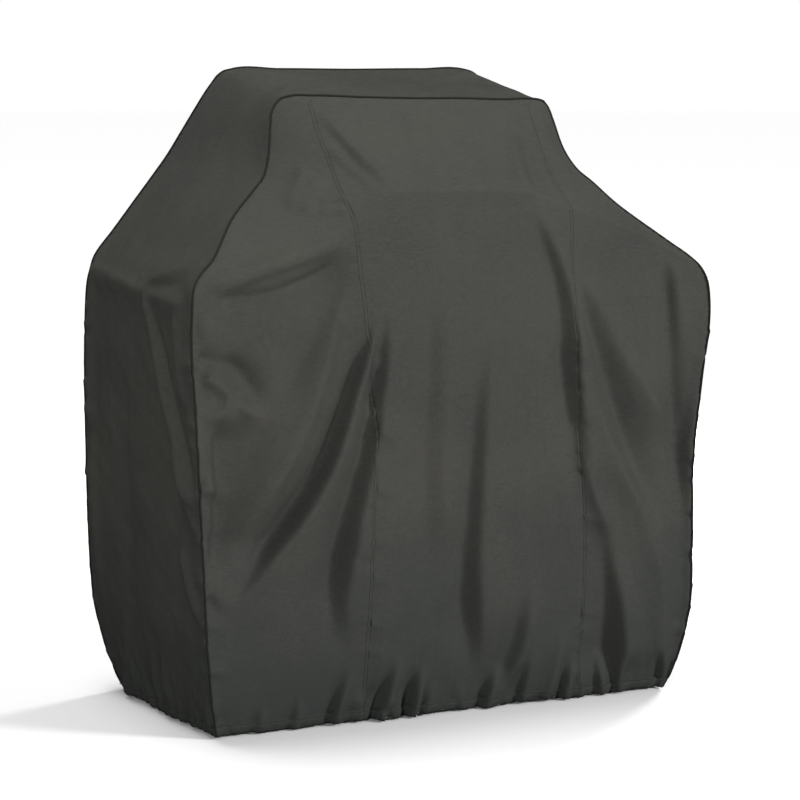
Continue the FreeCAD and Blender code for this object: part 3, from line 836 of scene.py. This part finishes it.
def new_material(name, color, rough, sheen, thread, tint, specular, crumple=0.12):
    """Woven cloth: threads both ways in height and colour, cloudy shade, painted shade towards the hem, fine
    crumples and a soft sheen.

    Thread sets how fine the weave is, tint how far the shade strays from the colour, and crumple the strength
    of the fine creases."""
    mat = bpy.data.materials.new(name)
    mat.use_nodes = True
    tree = mat.node_tree
    tree.nodes.clear()
    link = tree.links.new
    out = tree.nodes.new("ShaderNodeOutputMaterial")
    bsdf = node(tree, "ShaderNodeBsdfPrincipled", Specular_IOR_Level=specular, Sheen_Weight=sheen,
                Sheen_Roughness=0.4)
    bsdf.inputs["Sheen Tint"].default_value = (0.92, 0.93, 0.86, 1)
    link(bsdf.outputs["BSDF"], out.inputs["Surface"])
    coord = tree.nodes.new("ShaderNodeTexCoord")
    cloudy = node(tree, "ShaderNodeTexNoise", Scale=4.5, Detail=6.0, Roughness=0.6)
    link(coord.outputs["Object"], cloudy.inputs["Vector"])
    # Upright threads, and threads across them
    up = stretched_noise(tree, coord, (thread, thread, thread * 0.08))
    across = stretched_noise(tree, coord, (thread * 0.08, thread * 0.08, thread))
    weave = add_up(tree, up, across)
    shade = node(tree, "ShaderNodeMapRange", From_Min=0.6, From_Max=1.4, To_Min=-0.5, To_Max=0.5)
    link(weave, shade.inputs["Value"])
    # Painted shade: the colour of the cloth darkens a little towards the hem
    height = tree.nodes.new("ShaderNodeSeparateXYZ")
    link(coord.outputs["Object"], height.inputs["Vector"])
    painted_hem_shade = node(tree, "ShaderNodeMapRange", From_Min=0.0, From_Max=0.45, To_Min=-0.55, To_Max=0.0)
    link(height.outputs["Z"], painted_hem_shade.inputs["Value"])
    blend = add_up(tree, add_up(tree, cloudy.outputs["Fac"], painted_hem_shade.outputs["Result"]), shade.outputs["Result"])
    mix = tree.nodes.new("ShaderNodeMix")
    mix.data_type = "RGBA"
    mix.clamp_factor = True
    mix.inputs["A"].default_value = tuple(c * (1 - tint) * k for c, k in zip(color, COOL)) + (1,)
    mix.inputs["B"].default_value = tuple(c * (1 + tint) * k for c, k in zip(color, WARM)) + (1,)
    link(blend, mix.inputs["Factor"])
    link(mix.outputs["Result"], bsdf.inputs["Base Color"])
    rough_map = node(tree, "ShaderNodeMapRange", To_Min=rough - 0.06, To_Max=rough + 0.06)
    link(cloudy.outputs["Fac"], rough_map.inputs["Value"])
    link(rough_map.outputs["Result"], bsdf.inputs["Roughness"])
    fine = node(tree, "ShaderNodeBump", Strength=0.35, Distance=0.0005)
    link(weave, fine.inputs["Height"])
    rumple = node(tree, "ShaderNodeTexNoise", Scale=24.0, Detail=5.0, Roughness=0.55)
    link(coord.outputs["Object"], rumple.inputs["Vector"])
    coarse = node(tree, "ShaderNodeBump", Strength=crumple, Distance=0.006)
    link(rumple.outputs["Fac"], coarse.inputs["Height"])
    link(fine.outputs["Normal"], coarse.inputs["Normal"])
    link(coarse.outputs["Normal"], bsdf.inputs["Normal"])
    return mat


# Slot: the material's name, colour, roughness, sheen, threads, tint, specular and crumple
FINISHES = {
    "cloth": ("cover_cloth", (0.0175, 0.0175, 0.0161), 0.70, 0.0, 900, 0.20, 0.0),
    "cloth_lining": ("hem_cloth", (0.0165, 0.0165, 0.0151), 0.70, 0.0, 900, 0.20, 0.0),
    "piping_strip": ("piping_strip", (0.0065, 0.0065, 0.0060), 0.70, 0.0, 1400, 0.10, 0.01, 0.05),
    "piping_core": ("piping_core", (0.16, 0.16, 0.14), 0.80, 0.0, 1400, 0.10, 0.20, 0.05),
    "binding_tape": ("binding_tape", (0.009, 0.009, 0.0085), 0.65, 0.10, 1400, 0.15, 0.20, 0.05),
    "thread": ("thread", (0.0085, 0.0085, 0.0078), 0.80, 0.0, 2500, 0.10, 0.0, 0.0),
    "elastic": ("elastic", (0.016, 0.016, 0.016), 0.70, 0.10, 1400, 0.15, 0.20, 0.05),
}
MATERIALS = {slot: new_material(*finish) for slot, finish in FINISHES.items()}


def finish_piece(obj, slot, node_name):
    """Every piece rides on the one body, takes a slot's finish and stands for its CAD node."""
    obj.data.materials.append(MATERIALS[slot])
    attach(obj, "root")
    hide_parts(node_name)


# ---- the seven panels
A, B = SEAM_COLS
for side, grid, outward in (("front", FRONT, True), ("back", BACK, False)):
    for place, c0, c1 in (("left", 0, A), ("centre", A, B), ("right", B, grid.shape[1] - 1)):
        piece = grid_object(f"{side}_{place}_panel_cloth", grid[:, c0:c1 + 1], outward)
        thicken(piece, CLOTH)
        finish_piece(piece, "cloth", f"{side}_{place}_panel")
strip_piece = grid_object("top_and_ends_cloth", STRIP, False)
thicken(strip_piece, CLOTH)
finish_piece(strip_piece, "cloth", "top_and_ends_panel")

# ---- piping
strip_n = blurred(normals(STRIP, STRIP - MIDDLE), 2)
for side, grid, col, face in (("front", FRONT, 0, -1.0), ("back", BACK, -1, 1.0)):
    wall_n = normals(grid, np.array([0, face, 0.1]))
    out = evened(unit(strip_n[:, col] + boundary(wall_n)), 4)
    path = STRIP[:, col] + out * BEAD * 0.55
    path[[0, -1], 2] += 0.003
    finish_piece(sweep(f"{side}_piping_bead", path, out, ring(BEAD)), "piping_strip", f"{side}_piping_cover")
    # The cord inside ends a little way up, clear of the gathers at the hem
    core = sweep(f"{side}_piping_core_cord", path[6:-6], out[6:-6], ring(BEAD * 0.5, 8))
    finish_piece(core, "piping_core", f"{side}_piping_cord")

# ---- binding of the piped seams, inside
BINDING_IN = 0.011      # how far inside the seam the middle of the binding lies
BINDING_HALF = (0.0060, 0.0007)
for side, grid, col, beside in (("front", FRONT, 0, 3), ("back", BACK, -1, -4)):
    line = STRIP[:, col]
    # The binding lies midway between the cloths that meet at the seam, judged by points three columns from it
    inset = grid.copy()
    inset[:, 0], inset[:, -1], inset[-1] = grid[:, 3], grid[:, -4], grid[-4]
    along = unit(np.gradient(line, axis=0))
    out = np.zeros_like(line)
    for cloth in (boundary(inset), STRIP[:, beside]):
        away = line - cloth
        away -= along * (away * along).sum(axis=1, keepdims=True)
        out += away / (np.linalg.norm(away, axis=1, keepdims=True) + 1e-4)
    out = unit(evened(out, 6))
    inner = np.where(line[:, 2] > HEM_HIGH + 0.020)[0]
    path = (line - out * BINDING_IN)[inner]
    tape = sweep(f"{side}_seam_binding_tape", path, out[inner], flat_section(*BINDING_HALF))
    finish_piece(tape, "binding_tape", f"{side}_seam_binding")

# ---- tapes and topstitching of the upright seams


def resampled(path, step):
    """Rows of a path at even steps. Its first three columns are the place, and set the length."""
    run = run_along(path[:, :3])
    at = np.arange(step / 2, run[-1], step)
    return np.column_stack([np.interp(at, run, path[:, k]) for k in range(path.shape[1])])


def stitches(name, path, out, node_name, length=0.0032, pitch=0.0045, radius=0.00035):
    """A row of thread stitches that lie on the cloth, each a small rounded bar."""
    both = resampled(np.hstack([path, out]), pitch)
    centre = both[:, :3]
    tan, up, side = frame_along(centre, both[:, 3:])
    # Along a stitch: place and thickness, as shares of its length and radius
    profile = [(-0.5, 0.35), (-0.3, 1.0), (0.3, 1.0), (0.5, 0.35)]
    shape = ring(radius, 6)
    verts, faces = [], []
    for c, t, u, w in zip(centre + up * radius * 0.6, tan, up, side):
        base = len(verts)
        for along, wide in profile:
            verts += [c + t * along * length + u * a * wide + w * b * wide for a, b in shape]
        for low in (base, base + 6, base + 12):
            for m in range(6):
                n = (m + 1) % 6
                faces.append((low + m, low + n, low + 6 + n, low + 6 + m))
        faces += [tuple(base + m for m in range(5, -1, -1)), tuple(base + 18 + m for m in range(6))]
    finish_piece(add_object(name, verts, faces), "thread", node_name)


def offset_column(grid, norm, column, distance, lift):
    """Points beside a column of a wall, at a distance along the cloth, lifted off it by a little."""
    out = []
    for row, row_n in zip(grid, norm):
        run = run_along(row)
        at = run[column] + distance
        out.append([np.interp(at, run, row[:, k] + row_n[:, k] * lift) for k in range(3)])
    return np.array(out)


TAPE_HALF, TAPE_THICK, TAPE_GAP = 0.012, 0.0006, 0.0009
STITCH_AWAY = 0.006     # from an upright seam to the topstitching beside it
for side, grid, face in (("front", FRONT, -1.0), ("back", BACK, 1.0)):
    norm = normals(grid, np.array([0, face, 0.1]))
    keep = np.where(grid[:, A, 2] > HEM_HIGH + 0.004)[0][:-3]
    for place, column, way in (("left", A, -1), ("right", B, 1)):
        points = np.stack([offset_column(grid, norm, column, d, -CLOTH - TAPE_GAP)
                           for d in np.linspace(-TAPE_HALF, TAPE_HALF, 7)], axis=1)[keep]
        tape = grid_object(f"{side}_{place}_tape", points, side == "front")
        thicken(tape, TAPE_THICK)
        finish_piece(tape, "binding_tape", f"{side}_{place}_seam_tape")
        line = offset_column(grid, norm, column, way * STITCH_AWAY, 0.0)[keep]
        stitches(f"{side}_{place}_topstitching", line, norm[keep, column], f"{side}_{place}_topstitch")

# ---- hem: channel, elastic and their thread


def perimeter(row):
    """The closed line of the cloth at one row: front, right end, back, left end."""
    right, left = STRIP[-1 - row], STRIP[row]
    return np.concatenate([FRONT[row], right[1:], BACK[row, ::-1][1:], left[::-1][1:-1]])


def closed_blur(values, times):
    """Values round a closed line, smoothed."""
    for _ in range(times):
        values = (np.roll(values, 1, axis=0) + np.roll(values, -1, axis=0) + 2 * values) / 4
    return values


HEM = perimeter(0)
tangent = unit(np.roll(HEM, -1, axis=0) - np.roll(HEM, 1, axis=0))
hem_out = unit(closed_blur(np.cross(tangent, np.array([0, 0, 1.0])), 6))
rise = perimeter(int(np.argmin(np.abs(ROW_RUN - HEM_HIGH)))) - HEM
swell = 0.0030 + 0.0012 * np.sin(np.arange(len(HEM)) * 0.9) * np.sin(np.arange(len(HEM)) * 0.23)
# The channel's section, from its top seam on the cloth, down the outside, round the fold and up inside:
# height as a share of the channel's, and distance outwards as a share of its swell
CHANNEL = [(1.02, 0.0006), (0.80, 0.85), (0.50, 1.0), (0.20, 0.8), (0.02, 0.2), (0.0, -0.6), (0.10, -1.5),
           (0.45, -2.1), (0.80, -1.7), (1.02, -0.5)]
band = np.stack([HEM + rise * up + hem_out * swell[:, None] * out_by for up, out_by in CHANNEL], axis=1)
band[..., 2] = np.maximum(band[..., 2], 0.0)
n, m = band.shape[:2]
index = np.arange(n * m).reshape(n, m)
ahead = np.roll(index, -1, axis=0)
quads = np.stack([index, np.roll(index, -1, axis=1), np.roll(ahead, -1, axis=1), ahead], axis=-1)
quads = quads.reshape(-1, 4)
finish_piece(add_object("hem_channel", band.reshape(-1, 3), quads), "cloth_lining", "hem_channel_strip")

middle = HEM + rise * 0.48 - hem_out * 0.0018
elastic = sweep("hem_elastic_band", middle, hem_out, flat_section(0.0007, 0.007), closed=True)
finish_piece(elastic, "elastic", "hem_elastic")

# Two bars of thread through the lap of the elastic, at the middle of the back
at_back = int(np.argmin(np.abs(HEM[:, 0]) + (HEM[:, 1] < 0)))
half = (hem_out[at_back] * 0.0004, tangent[at_back] * 0.0007, np.array([0, 0, 0.005]))
BOX = ((0, 1, 3, 2), (4, 6, 7, 5), (0, 4, 5, 1), (2, 3, 7, 6), (0, 2, 6, 4), (1, 5, 7, 3))
tack_verts, tack_faces = [], []
for step in (-2, 2):
    c = middle[(at_back + step) % len(HEM)] - hem_out[at_back] * 0.0012
    base = len(tack_verts)
    tack_verts += [c + half[0] * i + half[1] * j + half[2] * k
                   for i in (-1, 1) for j in (-1, 1) for k in (-1, 1)]
    tack_faces += [tuple(base + corner for corner in face) for face in BOX]
tacks = add_object("elastic_tack_thread", tack_verts, tack_faces, smooth=False)
finish_piece(tacks, "thread", "elastic_bar_tacks")

loop = HEM + rise * 0.90 + hem_out * swell[:, None] * 0.75
stitches("hem_stitch_row", np.vstack([loop, loop[:1]]), np.vstack([hem_out, hem_out[:1]]), "hem_stitching",
         length=0.0036, pitch=0.0048, radius=0.0004)

# ---- pieces sewn to the long strip
SEWN_TO_STRIP = [f"{side}_{what}" for side in ("front", "back")
                 for what in ("piping_bead", "piping_core_cord", "seam_binding_tape")]
SEWN_TO_STRIP += ["hem_channel", "hem_elastic_band", "elastic_tack_thread", "hem_stitch_row"]

# ---- stage, lights, camera
FLOOR_RADIUS = 40
CAMERA_TARGET = (0.0096, -0.0074, 0.557)
CAMERA_AZIMUTH, CAMERA_DROP = math.radians(26.72), math.radians(7.07)
CAMERA_DISTANCE = 5.687
CAMERA_LENS = 135.3


def look_at(obj, target):
    way = Vector(target) - obj.location
    obj.rotation_euler = way.to_track_quat("-Z", "Y").to_euler()


def area_light(name, place, target, size, power):
    light = bpy.data.lights.new(name, "AREA")
    light.shape = "DISK"
    light.size = size
    light.energy = power
    obj = bpy.data.objects.new(name, light)
    bpy.context.scene.collection.objects.link(obj)
    obj.location = place
    look_at(obj, target)


def make_stage():
    """A pale round floor under a white sky, and four soft lamps."""
    rim = ring(FLOOR_RADIUS, 96)
    floor = add_object("studio_floor", np.column_stack([rim, np.zeros(len(rim))]), [tuple(range(len(rim)))],
                       smooth=False)
    mat = bpy.data.materials.new("studio_floor")
    mat.use_nodes = True
    tree = mat.node_tree
    bsdf = tree.nodes["Principled BSDF"]
    bsdf.inputs["Roughness"].default_value = 0.9
    bsdf.inputs["Specular IOR Level"].default_value = 0.1
    # Painted light: paler far away, where the lamps don't reach, so that floor and background meet softly
    coord = tree.nodes.new("ShaderNodeTexCoord")
    length = tree.nodes.new("ShaderNodeVectorMath")
    length.operation = "LENGTH"
    tree.links.new(coord.outputs["Object"], length.inputs[0])
    far = node(tree, "ShaderNodeMapRange", From_Min=1.5, From_Max=8.0)
    tree.links.new(length.outputs["Value"], far.inputs["Value"])
    mix = tree.nodes.new("ShaderNodeMix")
    mix.data_type = "RGBA"
    mix.inputs["A"].default_value = (0.32, 0.32, 0.32, 1)
    mix.inputs["B"].default_value = (0.98, 0.98, 0.98, 1)
    tree.links.new(far.outputs["Result"], mix.inputs["Factor"])
    tree.links.new(mix.outputs["Result"], bsdf.inputs["Base Color"])
    floor.data.materials.append(mat)
    world = bpy.context.scene.world or bpy.data.worlds.new("studio")
    bpy.context.scene.world = world
    world.use_nodes = True
    background = world.node_tree.nodes["Background"]
    background.inputs["Color"].default_value = (1, 1, 1, 1)
    background.inputs["Strength"].default_value = 1.0
    area_light("key_light", (4.3, -5.5, 2.9), (0, 0, 0.70), 1.6, 1320)
    area_light("fill_light", (-3.2, -4.0, 1.5), (0, 0, 0.60), 1.5, 290)
    area_light("top_light", (-0.85, 0.30, 3.7), (-0.2, 0, 0.90), 1.2, 185)
    area_light("back_light", (3.6, 2.3, 1.2), (0, 0, 0.60), 1.0, 560)


def make_camera():
    data = bpy.data.cameras.new("camera")
    data.sensor_width = 36.0
    data.lens = CAMERA_LENS
    data.clip_end = 200
    obj = bpy.data.objects.new("camera", data)
    bpy.context.scene.collection.objects.link(obj)
    level = math.cos(CAMERA_DROP)
    way = Vector((math.sin(CAMERA_AZIMUTH) * level, math.cos(CAMERA_AZIMUTH) * level, -math.sin(CAMERA_DROP)))
    obj.location = Vector(CAMERA_TARGET) - way * CAMERA_DISTANCE
    look_at(obj, CAMERA_TARGET)
    bpy.context.scene.camera = obj


make_stage()
make_camera()
bpy.context.scene.view_settings.view_transform = "Standard"
